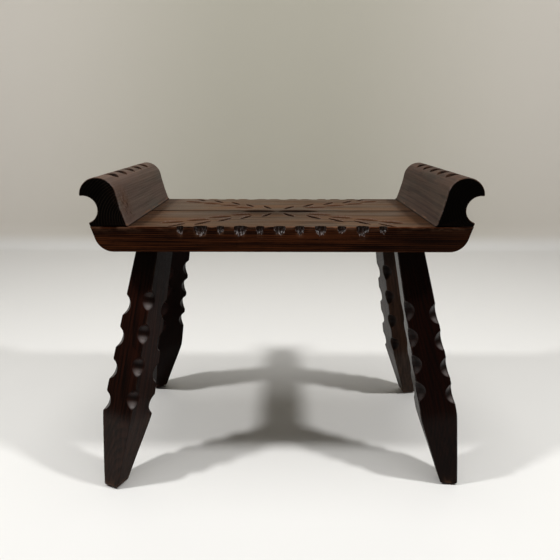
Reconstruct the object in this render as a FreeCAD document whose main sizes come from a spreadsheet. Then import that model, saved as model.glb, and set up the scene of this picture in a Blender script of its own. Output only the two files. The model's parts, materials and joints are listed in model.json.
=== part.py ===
import FreeCAD, Part
import math
import os

import Sketcher

# A low carved stool. Two planks, edge-joined with dowels, make the seat. A rolled end rest is doweled
# on each end of it. Four splayed legs, notched along their edges with a gouge, hold it up on round
# tenons in blind bores.
#
# Frame: X runs along the seat, Y from front to back, Z up. The origin is on the floor under the middle
# of the seat. Lengths are millimetres, angles degrees.

# Each row is a name, a value and what it measures
SIZES = (
    ("seat_top_length", 480, "planks, along their top"),
    ("seat_depth", 250, "front face to back face"),
    ("seat_height", 364, "floor to seat top"),
    ("seat_thickness", 32.5, "planks"),
    ("seat_end_slope", 16.7, "undercut of the plank ends, from upright"),
    ("seat_end_round", 23, "radius from a plank's end to its underside"),
    ("seam_bevel", 0.8, "bevel on both planks along the seam"),
    ("edge_notch_pitch", 51, "large notch to large notch on the long edges"),
    ("edge_notch_sink", 1, "centre of an edge notch inside the arris"),
    ("large_notch_count", 5, "on each long edge"),
    ("large_notch_radius", 8, "gouge sweep"),
    ("small_notch_count", 6, "on each long edge, midway between large ones"),
    ("small_notch_radius", 5.3, "gouge sweep"),
    ("rest_foot_width", 44.5, "end rest on the seat, from its inner foot to the seat's end"),
    ("rest_height", 61, "end rest above the seat top"),
    ("rest_overhang", 10, "tip of an end rest past the seat's end"),
    ("rest_roll_radius", 23.3, "rolled top of an end rest"),
    ("grip_radius", 17, "finger grip under the roll"),
    ("grip_lip", 4.3, "wood left between the grip and the seat"),
    ("grip_inset", 4, "centre of the grip inside the tip"),
    ("crest_gouge_count", 5, "cuts across an end rest's crest"),
    ("crest_gouge_pitch", 39, "between those cuts"),
    ("crest_gouge_radius", 4.5, "gouge sweep"),
    ("crest_gouge_depth", 3.5, "below the crest"),
    ("leg_end_inset", 69.6, "leg axis at the seat's underside, from the seat's end"),
    ("leg_side_inset", 47, "leg axis at the seat's underside, from the long edge"),
    ("leg_top_width", 34.7, "square section at the shoulder"),
    ("leg_knee_width", 48.7, "square section at the knee"),
    ("leg_knee_drop", 233.6, "shoulder to knee along the axis"),
    ("leg_foot_width", 22, "square section at the floor, before its bevel"),
    ("foot_bevel", 3.5, "bevel round the sole"),
    ("leg_notch_count", 4, "on each edge of a leg"),
    ("leg_notch_radius", 14, "gouge sweep"),
    ("leg_notch_depth", 6.8, "below the edge"),
    ("lean_end_front_left", 10.8, "splay towards the end of the seat"),
    ("lean_end_front_right", 11.4, "splay towards the end of the seat"),
    ("lean_end_rear_left", 11.8, "splay towards the end of the seat"),
    ("lean_end_rear_right", 11.6, "splay towards the end of the seat"),
    ("lean_side_front_left", 11.3, "splay towards the front"),
    ("lean_side_front_right", 9.5, "splay towards the front"),
    ("lean_side_rear_left", 11.9, "splay towards the back"),
    ("lean_side_rear_right", 9, "splay towards the back"),
    ("twist_front_left", -25.4, "turn of the leg's section about its axis"),
    ("twist_front_right", -2.5, "turn of the leg's section about its axis"),
    ("twist_rear_left", 40, "turn of the leg's section about its axis"),
    ("twist_rear_right", 10.1, "turn of the leg's section about its axis"),
    ("first_notch_front_left", 83, "shoulder to the first notch"),
    ("first_notch_front_right", 96, "shoulder to the first notch"),
    ("first_notch_rear_left", 82, "shoulder to the first notch"),
    ("first_notch_rear_right", 89, "shoulder to the first notch"),
    ("notch_pitch_front_left", 45, "notch to notch"),
    ("notch_pitch_front_right", 37.2, "notch to notch"),
    ("notch_pitch_rear_left", 34.6, "notch to notch"),
    ("notch_pitch_rear_right", 46.4, "notch to notch"),
    ("tenon_diameter", 25, "round tenon on top of a leg"),
    ("tenon_length", 22, "into the plank, along the axis"),
    ("tenon_clearance", 0.15, "glue gap round a tenon"),
    ("dowel_diameter", 10, "all dowels"),
    ("dowel_clearance", 0.1, "glue gap round a dowel"),
    ("hole_end_gap", 0.5, "past the end of a dowel or tenon"),
    ("seam_dowel_length", 60, "half in each plank"),
    ("seam_dowel_spacing", 120, "along the seam"),
    ("rest_dowel_length", 40, "half in the plank, half in the end rest"),
    ("rest_dowel_end_inset", 26, "from the seat's end"),
    ("rest_dowel_side_inset", 55, "from the long edge"),
)
VALUE = {name: value for name, value, note in SIZES}

# Each leg's name, its side along X and its side along Y
LEGS = (("front_left", -1, -1), ("front_right", 1, -1), ("rear_left", -1, 1), ("rear_right", 1, 1))
# The dowels across the seam, counted from the middle one
SEAM_DOWELS = (-1, 0, 1)

SEAT_END = "Sizes.seat_top_length / 2"
SEAT_EDGE = "Sizes.seat_depth / 2"
SEAT_MIDDLE = "(Sizes.seat_height - Sizes.seat_thickness / 2)"
UNDERSIDE = "(Sizes.seat_height - Sizes.seat_thickness)"
REST_TIP = f"({SEAT_END} + Sizes.rest_overhang)"
DOWEL_RADIUS = "Sizes.dowel_diameter / 2"
DOWEL_HOLE_RADIUS = f"{DOWEL_RADIUS} + Sizes.dowel_clearance"
REST_HOLE_DEPTH = "Sizes.rest_dowel_length / 2 + Sizes.hole_end_gap"
TENON_ROOT = "(Sizes.tenon_diameter / 2)"


def make_sheet(doc):
    """The spreadsheet that holds the driving dimensions, one aliased cell each."""
    sheet = doc.addObject("Spreadsheet::Sheet", "Sizes")
    for row, (name, value, note) in enumerate(SIZES, start=1):
        sheet.set(f"A{row}", name)
        sheet.set(f"B{row}", str(value))
        sheet.setAlias(f"B{row}", name)
        sheet.set(f"C{row}", note)
    doc.recompute()
    return sheet


def origin_feature(body, role):
    """The plane or axis of the body's own origin that has this role."""
    return next(feature for feature in body.Origin.OriginFeatures if feature.Role == role)


def add_sketch(body, name, plane, offset=None):
    """An empty sketch on one of the body's origin planes, moved from it by a placement expression."""
    sketch = body.newObject("Sketcher::SketchObject", name)
    sketch.AttachmentSupport = (origin_feature(body, plane), [""])
    sketch.MapMode = "FlatFace"
    if offset:
        sketch.setExpression("AttachmentOffset", offset)
    return sketch


def constrain(sketch, kind, *places, size=None, start=None):
    """Add a constraint. One with a size is driven by that expression and starts from the given value."""
    if size is None:
        sketch.addConstraint(Sketcher.Constraint(kind, *places))
        return
    index = sketch.addConstraint(Sketcher.Constraint(kind, *places, start))
    sketch.setExpression(f"Constraints[{index}]", size)


def add_polyline(sketch, points):
    """A closed chain of lines through the points, joined at their ends. Returns the first line's index."""
    base = sketch.GeometryCount
    count = len(points)
    for place, point in enumerate(points):
        following = points[(place + 1) % count]
        sketch.addGeometry(Part.LineSegment(FreeCAD.Vector(*point, 0), FreeCAD.Vector(*following, 0)))
    for place in range(count):
        constrain(sketch, "Coincident", base + place, 2, base + (place + 1) % count, 1)
    return base


def add_circle(sketch, x, y, radius):
    """A circle whose centre and radius are expressions, measured from the sketch's origin."""
    circle = sketch.addGeometry(Part.Circle(FreeCAD.Vector(1, 1, 0), FreeCAD.Vector(0, 0, 1), 1))
    constrain(sketch, "Radius", circle, size=radius, start=1)
    constrain(sketch, "DistanceX", -1, 1, circle, 3, size=x, start=1)
    constrain(sketch, "DistanceY", -1, 1, circle, 3, size=y, start=1)


def add_rectangle(sketch, width, low, high):
    """A rectangle of this width, centred on the sketch's upright axis, from low to high along it."""
    base = add_polyline(sketch, ((-1, -1), (1, -1), (1, 1), (-1, 1)))
    constrain(sketch, "Symmetric", base, 1, base, 2, -2)
    constrain(sketch, "Vertical", base + 1)
    constrain(sketch, "Horizontal", base + 2)
    constrain(sketch, "Vertical", base + 3)
    constrain(sketch, "DistanceX", base, 1, base, 2, size=width, start=2)
    constrain(sketch, "DistanceY", -1, 1, base, 1, size=low, start=-1)
    constrain(sketch, "DistanceY", -1, 1, base + 2, 1, size=high, start=1)


def add_square(body, name, side, offset):
    """A level sketch of a square of this side, centred on its own origin."""
    sketch = add_sketch(body, name, "XY_Plane", offset)
    add_rectangle(sketch, side, f"-{side} / 2", f"{side} / 2")
    return sketch


def extrude(body, kind, name, sketch, length, reverse=False, symmetric=False):
    """A Pad or Pocket of the sketch. A Pad rises along the sketch's normal and a Pocket sinks against it."""
    feature = body.newObject(f"PartDesign::{kind}", name)
    feature.Profile = sketch
    feature.setExpression("Length", length)
    feature.Reversed = reverse
    if symmetric:
        feature.SideType = "Symmetric"
    body.Tip = feature
    body.Document.recompute()
    return feature


def repeat_along(body, name, feature, axis, count, pitch):
    """A row of copies of a feature along one of the body's origin axes."""
    pattern = body.newObject("PartDesign::LinearPattern", name)
    pattern.Originals = [feature]
    pattern.Direction = (origin_feature(body, axis), [""])
    pattern.setExpression("Length", f"({count} - 1) * {pitch}")
    pattern.setExpression("Occurrences", count)
    body.Tip = pattern
    body.Document.recompute()
    return pattern


def dress_edges(body, kind, name, feature, wanted, prop, size):
    """A Fillet or Chamfer of every edge of the feature for which wanted(edge) is true."""
    edges = [f"Edge{place}" for place, edge in enumerate(feature.Shape.Edges, start=1) if wanted(edge)]
    dressed = body.newObject(f"PartDesign::{kind}", name)
    dressed.Base = (feature, edges)
    dressed.setExpression(prop, size)
    body.Tip = dressed
    body.Document.recompute()
    return dressed


def at(x, y, z, rotation="rotation(0; 0; 0)"):
    """The expression for a placement at these three expressions."""
    return f"placement(vector({x}; {y}; {z}); {rotation})"


def leg_slopes(name):
    """The slopes of a leg's axis towards the end and the side, and its length for each unit of height."""
    end = f"tan(Sizes.lean_end_{name})"
    side = f"tan(Sizes.lean_side_{name})"
    return end, side, f"sqrt(1 + {end}^2 + {side}^2)"


def leg_spot(name, side_x, side_y, fall):
    """The expressions for x and y of a leg's axis, this far below the seat's underside."""
    end, side, ratio = leg_slopes(name)
    x = f"{side_x} * ({SEAT_END} - Sizes.leg_end_inset + {fall} * {end})"
    y = f"{side_y} * ({SEAT_EDGE} - Sizes.leg_side_inset + {fall} * {side})"
    return x, y


def leg_frame(name, side_x, side_y, drop, turn="rotation(0; 0; 0)"):
    """The expression for a placement on a leg's axis, this far below its shoulder.

    Z points up the axis. X and Y lie across the faces of the leg's square section, which is turned
    about the axis by the leg's own twist. A further turn may follow.
    """
    end, side, ratio = leg_slopes(name)
    fall = f"({drop}) / {ratio}"
    twist = f"Sizes.twist_{name}"
    across = f"(-({side_x}) * {end} * cos({twist}) - ({side_y}) * {side} * sin({twist}))"
    along = f"(({side_x}) * {end} * sin({twist}) - ({side_y}) * {side} * cos({twist}))"
    lean = f"rotation({twist}; atan({across}); -atan({along} / sqrt(1 + {across}^2)))"
    place = at(*leg_spot(name, side_x, side_y, fall), f"{UNDERSIDE} - {fall}", lean)
    return f"{place} * {at(0, 0, 0, turn)}"


def rest_dowel_spot(end, side):
    """The expressions for x and y of the upright dowel at this end and side of the seat."""
    return (f"{end} * ({SEAT_END} - Sizes.rest_dowel_end_inset)",
            f"{side} * ({SEAT_EDGE} - Sizes.rest_dowel_side_inset)")


def parallel_to_y(edge, z):
    """Whether an edge runs along Y at this height."""
    first = edge.Vertexes[0].Point
    last = edge.Vertexes[-1].Point
    level = math.isclose(first.z, z, abs_tol=0.01) and math.isclose(last.z, z, abs_tol=0.01)
    return level and math.isclose(first.x, last.x, abs_tol=0.01)


def on_seam(edge, z):
    """Whether an edge lies on the seam plane at this height."""
    return all(math.isclose(vertex.Y, 0, abs_tol=0.01) and math.isclose(vertex.Z, z, abs_tol=0.01)
               for vertex in edge.Vertexes)


def on_floor(edge):
    """Whether an edge lies on the floor."""
    return all(math.isclose(vertex.Z, 0, abs_tol=0.01) for vertex in edge.Vertexes)


def add_edge_notches(body, name, side, count, radius):
    """A row of gouge notches across the long top arris on this side of the seat.

    The gouge runs at 45 degrees down from the top to the side, so each notch is a cylinder whose axis
    crosses the arris.
    """
    turn = 90 - side * 45
    offset = at(0, f"{side} * {SEAT_EDGE}", "Sizes.seat_height", f"rotation(0; 0; {turn})")
    sketch = add_sketch(body, f"{name}_sketch", "XY_Plane", offset)
    first = f"-({count} - 1) * Sizes.edge_notch_pitch / 2"
    add_circle(sketch, first, "-Sizes.edge_notch_sink", radius)
    cut = extrude(body, "Pocket", name, sketch, f"4 * {radius}", symmetric=True)
    repeat_along(body, f"{name}_row", cut, "X_Axis", count, "Sizes.edge_notch_pitch")


def make_plank(doc, label, side):
    """One seat plank, with undercut rounded ends, on the side of the seam that side gives."""
    body = doc.addObject("PartDesign::Body", label)
    top = VALUE["seat_height"]
    underside = top - VALUE["seat_thickness"]
    reach = VALUE["seat_top_length"] / 2
    foot = reach - VALUE["seat_thickness"] * math.tan(math.radians(VALUE["seat_end_slope"]))
    outline = add_sketch(body, "side_outline", "XZ_Plane")
    add_polyline(outline, ((-foot, underside), (foot, underside), (reach, top), (-reach, top)))
    for line in (0, 2):
        constrain(outline, "Symmetric", line, 1, line, 2, -2)
    constrain(outline, "DistanceX", 2, 2, 2, 1, size="Sizes.seat_top_length", start=2 * reach)
    constrain(outline, "DistanceY", -1, 1, 2, 1, size="Sizes.seat_height", start=top)
    constrain(outline, "DistanceY", 0, 1, 2, 1, size="Sizes.seat_thickness", start=top - underside)
    slope = math.radians(90 - VALUE["seat_end_slope"])
    constrain(outline, "Angle", 1, size="90 - Sizes.seat_end_slope", start=slope)
    board = extrude(body, "Pad", "board", outline, SEAT_EDGE, reverse=side > 0)
    rounded = dress_edges(body, "Fillet", "rounded_ends", board,
                          lambda edge: parallel_to_y(edge, underside), "Radius", "Sizes.seat_end_round")
    dress_edges(body, "Chamfer", "seam_arris", rounded,
                lambda edge: on_seam(edge, top), "Size", "Sizes.seam_bevel")

    seam = add_sketch(body, "seam_hole_centres", "XZ_Plane")
    for place in SEAM_DOWELS:
        add_circle(seam, f"{place} * Sizes.seam_dowel_spacing", SEAT_MIDDLE, DOWEL_HOLE_RADIUS)
    extrude(body, "Pocket", "seam_holes", seam, "Sizes.seam_dowel_length / 2 + Sizes.hole_end_gap",
            reverse=side < 0)

    rests = add_sketch(body, "rest_hole_centres", "XY_Plane", at(0, 0, "Sizes.seat_height"))
    for end in (-1, 1):
        add_circle(rests, *rest_dowel_spot(end, side), DOWEL_HOLE_RADIUS)
    extrude(body, "Pocket", "rest_holes", rests, REST_HOLE_DEPTH)

    for name, side_x, side_y in LEGS:
        if side_y == side:
            bore = add_sketch(body, f"bore_centre_{name}", "XY_Plane",
                              leg_frame(name, side_x, side_y, TENON_ROOT))
            add_circle(bore, "0", "0", "Sizes.tenon_diameter / 2 + Sizes.tenon_clearance")
            extrude(body, "Pocket", f"leg_bore_{name}", bore,
                    f"{TENON_ROOT} + Sizes.tenon_length + Sizes.hole_end_gap", reverse=True)

    add_edge_notches(body, "large_notches", side, "Sizes.large_notch_count", "Sizes.large_notch_radius")
    add_edge_notches(body, "small_notches", side, "Sizes.small_notch_count", "Sizes.small_notch_radius")
    return body


def rest_points(side):
    """The corners and centres of an end rest's outline, as side * x and z.

    The inner face rises from its foot as a tangent to the roll. The roll ends at the tip, where the grip's
    circle cuts it, and the grip ends at the lip, on the line of the plank's sloping end.
    """
    seat = VALUE["seat_height"]
    roll_radius = VALUE["rest_roll_radius"]
    grip_radius = VALUE["grip_radius"]
    heel = (VALUE["seat_top_length"] / 2, seat)
    foot = (heel[0] - VALUE["rest_foot_width"], seat)
    outermost = heel[0] + VALUE["rest_overhang"]
    roll = (outermost - roll_radius, seat + VALUE["rest_height"] - roll_radius)
    grip = (outermost - VALUE["grip_inset"], seat + VALUE["grip_lip"] + grip_radius)

    reach = math.dist(foot, roll)
    bearing = math.atan2(foot[1] - roll[1], foot[0] - roll[0]) - math.acos(roll_radius / reach)
    tangent = (roll[0] + roll_radius * math.cos(bearing), roll[1] + roll_radius * math.sin(bearing))

    gap = math.dist(roll, grip)
    bearing = math.atan2(roll[1] - grip[1], roll[0] - grip[0])
    opening = math.acos((gap ** 2 + grip_radius ** 2 - roll_radius ** 2) / (2 * gap * grip_radius))
    bearing -= opening
    tip = (grip[0] + grip_radius * math.cos(bearing), grip[1] + grip_radius * math.sin(bearing))

    slope = math.radians(VALUE["seat_end_slope"])
    offset = (grip[0] - heel[0]) * math.sin(slope) + (grip[1] - heel[1]) * math.cos(slope)
    across = (grip[0] - heel[0]) * math.cos(slope) - (grip[1] - heel[1]) * math.sin(slope)
    climb = offset - math.sqrt(grip_radius ** 2 - across ** 2)
    lip = (heel[0] + climb * math.sin(slope), heel[1] + climb * math.cos(slope))
    return [(side * x, z) for x, z in (foot, tangent, roll, tip, grip, lip, heel)]


def add_arc(sketch, centre, first, last):
    """An arc about a centre, counter-clockwise from the first point to the last."""
    radius = math.dist(centre, first)
    angles = [math.atan2(point[1] - centre[1], point[0] - centre[0]) for point in (first, last)]
    circle = Part.Circle(FreeCAD.Vector(*centre, 0), FreeCAD.Vector(0, 0, 1), radius)
    return sketch.addGeometry(Part.ArcOfCircle(circle, *angles))


def make_rest(doc, label, side):
    """One end rest: its rolled outline along the seat's depth, with gouge cuts across the crest."""
    body = doc.addObject("PartDesign::Body", label)
    foot, tangent, roll, tip, grip, lip, heel = rest_points(side)
    outline = add_sketch(body, "rolled_outline", "XZ_Plane")
    base = outline.addGeometry(Part.LineSegment(FreeCAD.Vector(*heel, 0), FreeCAD.Vector(*foot, 0)))
    face = outline.addGeometry(Part.LineSegment(FreeCAD.Vector(*foot, 0), FreeCAD.Vector(*tangent, 0)))
    ends = ((tip, tangent), (tip, lip)) if side > 0 else ((tangent, tip), (lip, tip))
    crest = add_arc(outline, roll, *ends[0])
    cove = add_arc(outline, grip, *ends[1])
    end = outline.addGeometry(Part.LineSegment(FreeCAD.Vector(*lip, 0), FreeCAD.Vector(*heel, 0)))
    near, far = (1, 2) if side > 0 else (2, 1)
    constrain(outline, "Coincident", base, 2, face, 1)
    constrain(outline, "Tangent", face, 2, crest, far)
    constrain(outline, "Coincident", crest, near, cove, near)
    constrain(outline, "Coincident", cove, far, end, 1)
    constrain(outline, "Coincident", end, 2, base, 1)
    constrain(outline, "Horizontal", base)
    places = (
        (base, 2, f"{SEAT_END} - Sizes.rest_foot_width", "Sizes.seat_height", foot),
        (crest, 3, f"{REST_TIP} - Sizes.rest_roll_radius",
         "Sizes.seat_height + Sizes.rest_height - Sizes.rest_roll_radius", roll),
        (cove, 3, f"{REST_TIP} - Sizes.grip_inset",
         "Sizes.seat_height + Sizes.grip_lip + Sizes.grip_radius", grip),
    )
    for geometry, point, x, z, start in places:
        constrain(outline, "DistanceX", -1, 1, geometry, point, size=f"{side} * ({x})", start=start[0])
        constrain(outline, "DistanceY", -1, 1, geometry, point, size=z, start=start[1])
    constrain(outline, "DistanceX", -1, 1, base, 1, size=f"{side} * {SEAT_END}", start=heel[0])
    constrain(outline, "Radius", crest, size="Sizes.rest_roll_radius", start=VALUE["rest_roll_radius"])
    constrain(outline, "Radius", cove, size="Sizes.grip_radius", start=VALUE["grip_radius"])
    slope = math.radians(-90 - side * VALUE["seat_end_slope"])
    constrain(outline, "Angle", end, size=f"-90 - {side} * Sizes.seat_end_slope", start=slope)
    extrude(body, "Pad", "roll", outline, "Sizes.seat_depth", symmetric=True)

    crest_top = "Sizes.seat_height + Sizes.rest_height"
    gouge = add_sketch(body, "crest_gouge_section", "YZ_Plane", at(0, 0, f"{side} * {REST_TIP}"))
    first = "-(Sizes.crest_gouge_count - 1) * Sizes.crest_gouge_pitch / 2"
    add_circle(gouge, first, f"{crest_top} + Sizes.crest_gouge_radius - Sizes.crest_gouge_depth",
               "Sizes.crest_gouge_radius")
    cut = extrude(body, "Pocket", "crest_gouge", gouge, "2 * Sizes.rest_roll_radius", reverse=side < 0)
    repeat_along(body, "crest_gouges", cut, "Y_Axis", "Sizes.crest_gouge_count", "Sizes.crest_gouge_pitch")

    holes = add_sketch(body, "rest_hole_centres", "XY_Plane", at(0, 0, "Sizes.seat_height"))
    for row in (-1, 1):
        add_circle(holes, *rest_dowel_spot(side, row), DOWEL_HOLE_RADIUS)
    extrude(body, "Pocket", "rest_holes", holes, REST_HOLE_DEPTH, reverse=True)
    return body


def add_taper(sketch, stations):
    """A leg's outline, symmetric about the sketch's upright axis, through stations of drop and width."""
    count = len(stations)
    down = [(1, -place) for place in range(count)]
    up = [(-x, y) for x, y in reversed(down)]
    base = add_polyline(sketch, down + up)
    for place, (drop, width) in enumerate(stations):
        right = base + place
        left = base + 2 * count - 1 - place
        constrain(sketch, "Symmetric", left, 1, right, 1, -2)
        constrain(sketch, "DistanceX", left, 1, right, 1, size=width, start=2)
        constrain(sketch, "DistanceY", -1, 1, right, 1, size=f"-({drop})", start=-1 - place)


def make_leg(doc, name, side_x, side_y):
    """One leg: square stock sawn to a swelling and tapering outline both ways, notched along its edges.

    A level cut makes the shoulder, from which a round tenon rises. Another makes the sole, which is
    bevelled all round.
    """
    body = doc.addObject("PartDesign::Body", f"leg_{name}")
    length = f"({UNDERSIDE} * {leg_slopes(name)[2]})"
    swell = "((Sizes.leg_knee_width - Sizes.leg_top_width) / Sizes.leg_knee_drop)"
    taper = f"((Sizes.leg_knee_width - Sizes.leg_foot_width) / ({length} - Sizes.leg_knee_drop))"
    # The stock runs past both level cuts by half its width there
    top_waste = "Sizes.leg_top_width / 2"
    foot_waste = "Sizes.leg_foot_width / 2"
    stations = (
        (f"-{top_waste}", f"Sizes.leg_top_width - {swell} * {top_waste}"),
        ("Sizes.leg_knee_drop", "Sizes.leg_knee_width"),
        (f"{length} + {foot_waste}", f"Sizes.leg_foot_width - {taper} * {foot_waste}"),
    )
    front = add_sketch(body, "front_outline", "XY_Plane",
                       leg_frame(name, side_x, side_y, 0, "rotation(0; 0; 90)"))
    add_taper(front, stations)
    extrude(body, "Pad", "stock", front, "Sizes.leg_knee_width", symmetric=True)

    side = add_sketch(body, "side_waste", "XY_Plane",
                      leg_frame(name, side_x, side_y, 0, "rotation(90; 0; 90)"))
    add_taper(side, stations)
    add_rectangle(side, "2 * Sizes.leg_knee_width", f"-{length} - Sizes.leg_knee_width",
                  "Sizes.leg_knee_width")
    extrude(body, "Pocket", "sawn_sides", side, "2 * Sizes.leg_knee_width", symmetric=True)

    notches = add_sketch(body, "edge_notch_circles", "XY_Plane",
                         leg_frame(name, side_x, side_y, 0, "rotation(45; 0; 90)"))
    for place in range(VALUE["leg_notch_count"]):
        drop = f"(Sizes.first_notch_{name} + {place} * Sizes.notch_pitch_{name})"
        edge = f"(Sizes.leg_top_width + {swell} * {drop}) / sqrt(2)"
        add_circle(notches, f"{edge} + Sizes.leg_notch_radius - Sizes.leg_notch_depth", f"-{drop}",
                   "Sizes.leg_notch_radius")
    cut = extrude(body, "Pocket", "edge_notches", notches, "Sizes.leg_knee_width", symmetric=True)
    around = body.newObject("PartDesign::PolarPattern", "edge_notches_around")
    around.Originals = [cut]
    around.Axis = (front, ["V_Axis"])
    around.Angle = 360
    around.Occurrences = 4
    body.Tip = around
    doc.recompute()

    shoulder = add_square(body, "shoulder_cut", "3 * Sizes.leg_top_width",
                          at(*leg_spot(name, side_x, side_y, 0), UNDERSIDE))
    extrude(body, "Pocket", "shoulder", shoulder, "Sizes.leg_top_width", reverse=True)

    root = add_sketch(body, "tenon_section", "XY_Plane", leg_frame(name, side_x, side_y, TENON_ROOT))
    add_circle(root, "0", "0", "Sizes.tenon_diameter / 2")
    extrude(body, "Pad", "tenon", root, f"{TENON_ROOT} + Sizes.tenon_length")

    floor = add_square(body, "sole_cut", "3 * Sizes.leg_foot_width",
                       at(*leg_spot(name, side_x, side_y, UNDERSIDE), 0))
    sole = extrude(body, "Pocket", "sole", floor, "Sizes.leg_foot_width")
    dress_edges(body, "Chamfer", "sole_bevel", sole, on_floor, "Size", "Sizes.foot_bevel")
    return body


def make_dowels(doc, label, length, places):
    """A group of separate dowels, each centred and turned by one of the placement expressions."""
    dowels = []
    for number, place in enumerate(places, start=1):
        body = doc.addObject("PartDesign::Body", f"{label}_{number}")
        section = add_sketch(body, "round_section", "XY_Plane", place)
        add_circle(section, "0", "0", DOWEL_RADIUS)
        extrude(body, "Pad", "rod", section, length, symmetric=True)
        dowels.append(body)
    group = doc.addObject("Part::Compound", label)
    group.Links = dowels
    doc.recompute()
    return group


def make_all_dowels(doc):
    """The dowels across the seam and the two upright ones under each end rest."""
    across = "rotation(0; 0; 90)"
    seam = [at(f"{place} * Sizes.seam_dowel_spacing", 0, SEAT_MIDDLE, across) for place in SEAM_DOWELS]
    groups = [make_dowels(doc, "seat_joint_dowels", "Sizes.seam_dowel_length", seam)]
    for label, end in (("end_rest_dowels_left", -1), ("end_rest_dowels_right", 1)):
        upright = [at(*rest_dowel_spot(end, side), "Sizes.seat_height") for side in (-1, 1)]
        groups.append(make_dowels(doc, label, "Sizes.rest_dowel_length", upright))
    return groups


def check(doc, pieces):
    """Stop if any object of the document failed or any piece's shape is missing or broken."""
    for item in doc.Objects:
        if "Invalid" in item.State or "Error" in item.State:
            raise RuntimeError(f"{item.Label} failed: {item.State}")
    for piece in pieces:
        if piece.Shape.isNull() or not piece.Shape.isValid():
            raise RuntimeError(f"{piece.Label} has no valid shape")


def main():
    doc = FreeCAD.newDocument("carved_stool")
    make_sheet(doc)
    pieces = [make_plank(doc, "seat_plank_front", -1), make_plank(doc, "seat_plank_rear", 1)]
    pieces += [make_rest(doc, "end_rest_left", -1), make_rest(doc, "end_rest_right", 1)]
    pieces += [make_leg(doc, *leg) for leg in LEGS]
    pieces += make_all_dowels(doc)
    doc.recompute()
    check(doc, pieces)
    os.makedirs("parts", exist_ok=True)
    for piece in pieces:
        piece.Shape.exportStep(f"parts/{piece.Label}.step")
        box = piece.Shape.BoundBox
        print(f"{piece.Label}: {len(piece.Shape.Solids)} solid, {piece.Shape.Volume:.0f} mm3, "
              f"x {box.XMin:.1f} {box.XMax:.1f}, y {box.YMin:.1f} {box.YMax:.1f}, "
              f"z {box.ZMin:.1f} {box.ZMax:.1f}")


main()
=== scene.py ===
"""A carved wooden stool, dressed around its solids.

Two planks make the seat, with a feather carving on top and gouge notches along the long edges. A rolled
rest stands on each end of it, and four splayed legs are notched along their edges. Lengths are metres,
in the frame of the solids: X along the seat, Y from front to back, Z up, origin on the floor.
"""
import functools
import json
import math
from collections import namedtuple

import bpy
import numpy as np
from bpy.props import FloatProperty, FloatVectorProperty, PointerProperty
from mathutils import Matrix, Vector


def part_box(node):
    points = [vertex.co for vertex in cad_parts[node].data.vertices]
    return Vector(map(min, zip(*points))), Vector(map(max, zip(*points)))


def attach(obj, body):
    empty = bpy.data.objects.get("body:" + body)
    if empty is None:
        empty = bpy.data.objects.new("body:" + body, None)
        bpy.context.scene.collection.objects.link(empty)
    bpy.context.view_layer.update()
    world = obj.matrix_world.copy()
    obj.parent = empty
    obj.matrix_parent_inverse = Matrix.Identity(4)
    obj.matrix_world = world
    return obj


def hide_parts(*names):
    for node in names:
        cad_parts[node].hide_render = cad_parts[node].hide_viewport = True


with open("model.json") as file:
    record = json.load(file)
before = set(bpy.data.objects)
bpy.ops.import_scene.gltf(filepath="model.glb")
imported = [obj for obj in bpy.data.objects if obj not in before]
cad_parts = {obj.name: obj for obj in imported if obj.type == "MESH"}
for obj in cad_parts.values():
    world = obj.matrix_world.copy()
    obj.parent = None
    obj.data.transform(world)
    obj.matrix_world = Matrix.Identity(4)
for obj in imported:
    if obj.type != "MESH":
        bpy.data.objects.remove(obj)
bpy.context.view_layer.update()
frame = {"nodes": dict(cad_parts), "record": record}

bl_info = {
    "name": "Carved Wooden Stool",
    "version": (1, 0, 0),
    "blender": (4, 5, 0),
    "location": "View3D > Sidebar > Stool",
    "description": "Builds the carved seat, end rests and legs of a wooden stool, with their finish",
    "category": "Add Mesh",
}

MM = 0.001
SEAT_LOW, SEAT_HIGH = (np.array(corner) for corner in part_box("seat_plank_front"))
REST_LOW, REST_HIGH = (np.array(corner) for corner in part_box("end_rest_right"))
FEET = {mount["name"]: np.array(mount["pos_m"]) for mount in frame["record"]["mounts"]}

# A plank's name and side along Y, its pith's distance from the seam, how faded its top is, with the painted
# sheen and light that make it paler, and the smudge round the heart: how far left of the middle it lies, its
# spread along and across the seat, its strength
Plank = namedtuple("Plank", "name side pith fade smudge_left smudge_along smudge_across smudge")
PLANKS = (
    Plank("front", -1, 88 * MM, 0.88, 20 * MM, 62 * MM, 50 * MM, 0.72),
    Plank("rear", 1, 112 * MM, 1.0, 4 * MM, 48 * MM, 14 * MM, 0.40),
)
# A rest's name and side along X, its pith's place along X and above the seat, how faded its faces are, with
# the painted sheen that makes them paler, and how faded its end grain is, the gloss of its inner face, and
# the strength of the scuff there
Rest = namedtuple("Rest", "name side pith_out pith_up fade end_fade gloss scuff")
RESTS = (
    Rest("left", -1, 188 * MM, 10 * MM, 1.0, 0.0, 0.01, 1.0),
    Rest("right", 1, 245 * MM, 24 * MM, 0.48, 0.8, 0.09, 0.0),
)
# A leg's name, its side along X and Y, its twist in degrees, its first notch and notch pitch in
# millimetres, how far the notches are set off on its right rear, left rear, left front and right front
# edges, how faded and paler with painted light it is, how much painted shade darkens it, the sheen of its
# inner face and notch lips, whose pale colour is painted highlight, and the painted shade in each edge's
# notches
Leg = namedtuple("Leg", "name side_x side_y twist first_notch notch_pitch shifts fade stain sheen grime")
LEGS = (
    Leg("front_left", -1, -1, -25.4, 83, 45, (6, 0, 5, -9), 0.04, 0.0, 0.20, (0, 0, 0, 0)),
    Leg("front_right", 1, -1, -2.5, 96, 37.2, (0, 0, -10, 1), 0.0, 0.6, 0.32, (0, 0, 0.7, 0)),
    Leg("rear_left", -1, 1, 40, 82, 34.6, (0, 0, 0, -5), 0.0, 0.75, 0.03, (0.5, 0.5, 0.5, 0.5)),
    Leg("rear_right", 1, 1, 10.1, 89, 46.4, (0, 0, -12, 0), 0.2, 0.0, 0.28, (1, 1, 1, 1)),
)
LEG_NOTCHES = 4
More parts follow.
